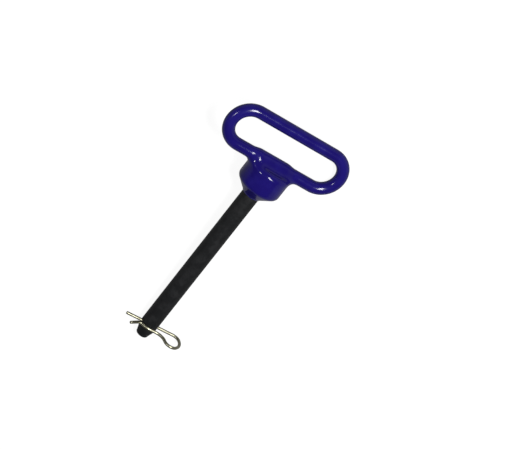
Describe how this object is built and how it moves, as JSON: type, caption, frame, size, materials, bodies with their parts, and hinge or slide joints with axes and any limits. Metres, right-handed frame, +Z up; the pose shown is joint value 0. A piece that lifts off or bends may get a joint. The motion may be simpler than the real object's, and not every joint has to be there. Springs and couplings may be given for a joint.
{
  "type": "hitch pin",
  "caption": "Steel hitch pin with a vinyl-coated loop handle and a hairpin clip through its cross hole, lying at rest.",
  "frame": {"origin": "on the ground under the middle of the lying pin", "axes": "+X along the pin from its nose to its handle, +Z up from the ground, +Y to the side where the handle is raised"},
  "size_m": [0.2816, 0.1372, 0.054],
  "materials": {
    "black_steel": "dull black oxide and oil on turned steel",
    "bare_steel": "plain drawn bar, hidden under the coat",
    "blue_vinyl": "deep blue dipped vinyl, smooth and glossy",
    "zinc_wire": "pale yellow zinc-plated spring wire"
  },
  "bodies": {
    "pin": {"pin": "black_steel", "handle_rod": "bare_steel", "handle_coat": "blue_vinyl"},
    "clip": {"clip": "zinc_wire"}
  },
  "joints": [
    {"name": "clip_pull", "type": "slide", "parent": "pin", "child": "clip", "axis": [0.0655, -0.9596, -0.2737], "range_m": [0, 0.04], "deforming": ["clip"]}
  ]
}
